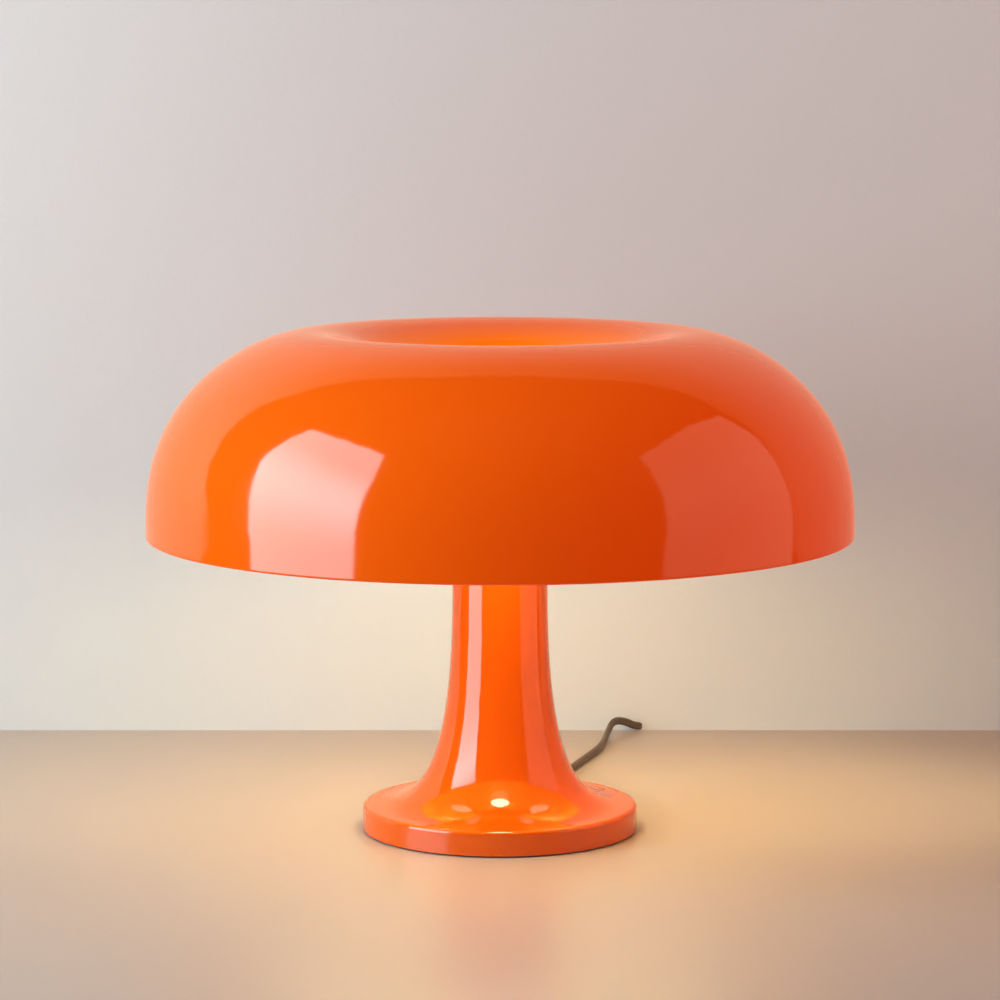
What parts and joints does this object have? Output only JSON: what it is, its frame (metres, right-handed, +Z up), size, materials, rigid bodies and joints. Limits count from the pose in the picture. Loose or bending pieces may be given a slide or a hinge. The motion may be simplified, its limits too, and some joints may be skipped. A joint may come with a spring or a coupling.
{
  "type": "table lamp",
  "caption": "Table lamp with a glossy orange mushroom shade, open funnel top, trumpet foot, push switch, four bulbs and a coiled mains cord.",
  "frame": {"origin": "on the table, under the axis of the stem", "axes": "+Z up along the stem, +X to the right and +Y to the back as seen from the pictured front"},
  "size_m": [0.32, 0.4719, 0.228],
  "materials": {
    "shade_plastic": "glossy translucent orange moulding",
    "foot_plastic": "glossy orange moulding",
    "button_plastic": "glossy orange push button",
    "cap_plastic": "glossy orange cap",
    "cover_steel": "white painted sheet steel",
    "carrier_steel": "white painted folded steel",
    "raw_steel": "oiled steel plate",
    "zinc_steel": "zinc plated",
    "felt_rubber": "soft dark elastomer",
    "switch_plastic": "moulded black",
    "white_plastic": "moulded white",
    "holder_plastic": "moulded white thermoplastic",
    "bulb_cap_metal": "threaded aluminium cap",
    "opal_glass": "opal glass globe",
    "cord_plastic": "brown-black twin lead sheath",
    "tie_plastic": "black band",
    "plug_plastic": "moulded black",
    "pin_brass": "nickel plated brass"
  },
  "bodies": {
    "base": {"base_shell": "foot_plastic", "ballast_plate": "raw_steel", "bottom_cover": "cover_steel", "cover_screws": "zinc_steel", "foot_ring": "felt_rubber", "switch_body": "switch_plastic", "switch_screws": "zinc_steel", "threaded_rod": "zinc_steel", "lower_nut": "zinc_steel", "upper_nut": "zinc_steel", "upper_washer": "zinc_steel", "lamp_carrier": "carrier_steel", "shade_seat": "carrier_steel", "seat_ring": "felt_rubber", "seat_cap": "cap_plastic", "lampholder_1": "holder_plastic", "lampholder_2": "holder_plastic", "lampholder_3": "holder_plastic", "lampholder_4": "holder_plastic", "nipple_nuts": "zinc_steel", "terminal_block": "white_plastic", "terminal_screws": "zinc_steel", "cord_clamp": "white_plastic", "clamp_screws": "zinc_steel", "strain_relief": "cord_plastic", "inner_lead": "cord_plastic", "riser_lead": "cord_plastic", "lead_splice": "white_plastic", "cord_stretch": "cord_plastic", "cord_coil": "cord_plastic", "cord_tie": "tie_plastic", "plug_body": "plug_plastic", "plug_pins": "pin_brass"},
    "shade": {"shade": "shade_plastic"},
    "switch_button": {"switch_button": "button_plastic"},
    "bulb_1": {"bulb_cap_1": "bulb_cap_metal", "bulb_glass_1": "opal_glass"},
    "bulb_2": {"bulb_cap_2": "bulb_cap_metal", "bulb_glass_2": "opal_glass"},
    "bulb_3": {"bulb_cap_3": "bulb_cap_metal", "bulb_glass_3": "opal_glass"},
    "bulb_4": {"bulb_cap_4": "bulb_cap_metal", "bulb_glass_4": "opal_glass"}
  },
  "joints": [
    {"name": "shade_lift", "type": "slide", "parent": "base", "child": "shade", "axis": [0, 0, 1], "range_m": [0, 0.06]},
    {"name": "button_press", "type": "slide", "parent": "base", "child": "switch_button", "axis": [0, 0, -1], "range_m": [0, 0.0016], "stiffness_N_per_m": 1500, "springref_m": -0.0004},
    {"name": "bulb_turn_1", "type": "hinge", "parent": "base", "child": "bulb_1", "pos_m": [0, -0.06, 0.1665], "axis": [0, -1, 0], "range_deg": [0, 1080]},
    {"name": "bulb_turn_2", "type": "hinge", "parent": "base", "child": "bulb_2", "pos_m": [0.06, 0, 0.1665], "axis": [1, 0, 0], "range_deg": [0, 1080]},
    {"name": "bulb_turn_3", "type": "hinge", "parent": "base", "child": "bulb_3", "pos_m": [0, 0.06, 0.1665], "axis": [0, 1, 0], "range_deg": [0, 1080]},
    {"name": "bulb_turn_4", "type": "hinge", "parent": "base", "child": "bulb_4", "pos_m": [-0.06, 0, 0.1665], "axis": [-1, 0, 0], "range_deg": [0, 1080]}
  ]
}
